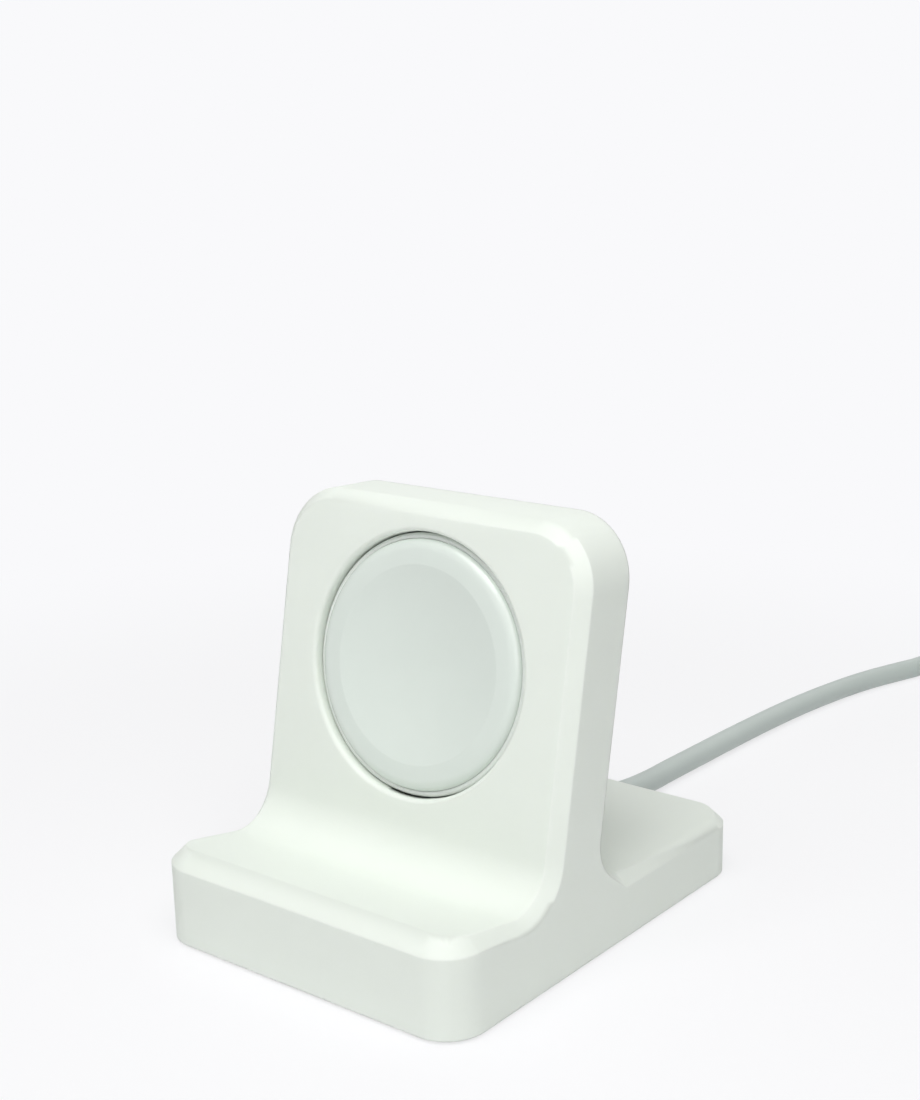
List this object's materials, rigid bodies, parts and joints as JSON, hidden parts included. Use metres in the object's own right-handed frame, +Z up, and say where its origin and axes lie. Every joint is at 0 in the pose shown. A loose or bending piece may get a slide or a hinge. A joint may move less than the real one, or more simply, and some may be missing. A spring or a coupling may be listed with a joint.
{
  "type": "smartwatch stand",
  "caption": "Moulded stand that holds a round magnetic charging puck in a leaning upright, with a ledge for the watch and a lead that leaves behind the foot.",
  "frame": {"origin": "centre of the stand's outline on the surface it stands on; the free cable, its coil and its plug are left out of that outline", "axes": "+X to the right seen from the watch's side, +Y to the back, where the cable leaves, +Z up"},
  "size_m": [0.074, 0.1692, 0.0462],
  "materials": {
    "stand_silicone": "matte moulded silicone, off-white with a slight green tint",
    "pad_rubber": "matte light grey non-slip rubber",
    "cap_gloss": "glossy white polycarbonate",
    "shell_gloss": "satin white polycarbonate",
    "winding_copper": "enamelled copper winding",
    "ferrite": "matte dark grey ferrite",
    "magnet_nickel": "nickel-plated magnet",
    "shield_steel": "plain sheet steel",
    "board_laminate": "green lacquered circuit board",
    "chip_resin": "black moulded resin",
    "gland_plastic": "satin off-white TPE",
    "cable_jacket": "satin grey-green TPE jacket",
    "grip_plastic": "satin white PVC over-mould",
    "mouth_steel": "nickel-plated sheet steel",
    "tongue_plastic": "white moulded plastic",
    "contact_gold": "gold-plated contacts"
  },
  "bodies": {
    "root": {"stand_body": "stand_silicone", "base_pad": "pad_rubber", "puck_cap": "cap_gloss", "puck_shell": "shell_gloss", "charging_coil": "winding_copper", "ferrite_ring": "ferrite", "centre_magnet": "magnet_nickel", "shield_plate": "shield_steel", "puck_board": "board_laminate", "board_chips": "chip_resin", "puck_gland": "gland_plastic", "held_lead": "cable_jacket", "cable": "cable_jacket", "cable_coil": "cable_jacket", "plug_tail": "cable_jacket", "plug_grip": "grip_plastic", "plug_mouth": "mouth_steel", "plug_tongue": "tongue_plastic", "plug_contacts": "contact_gold"}
  },
  "joints": []
}
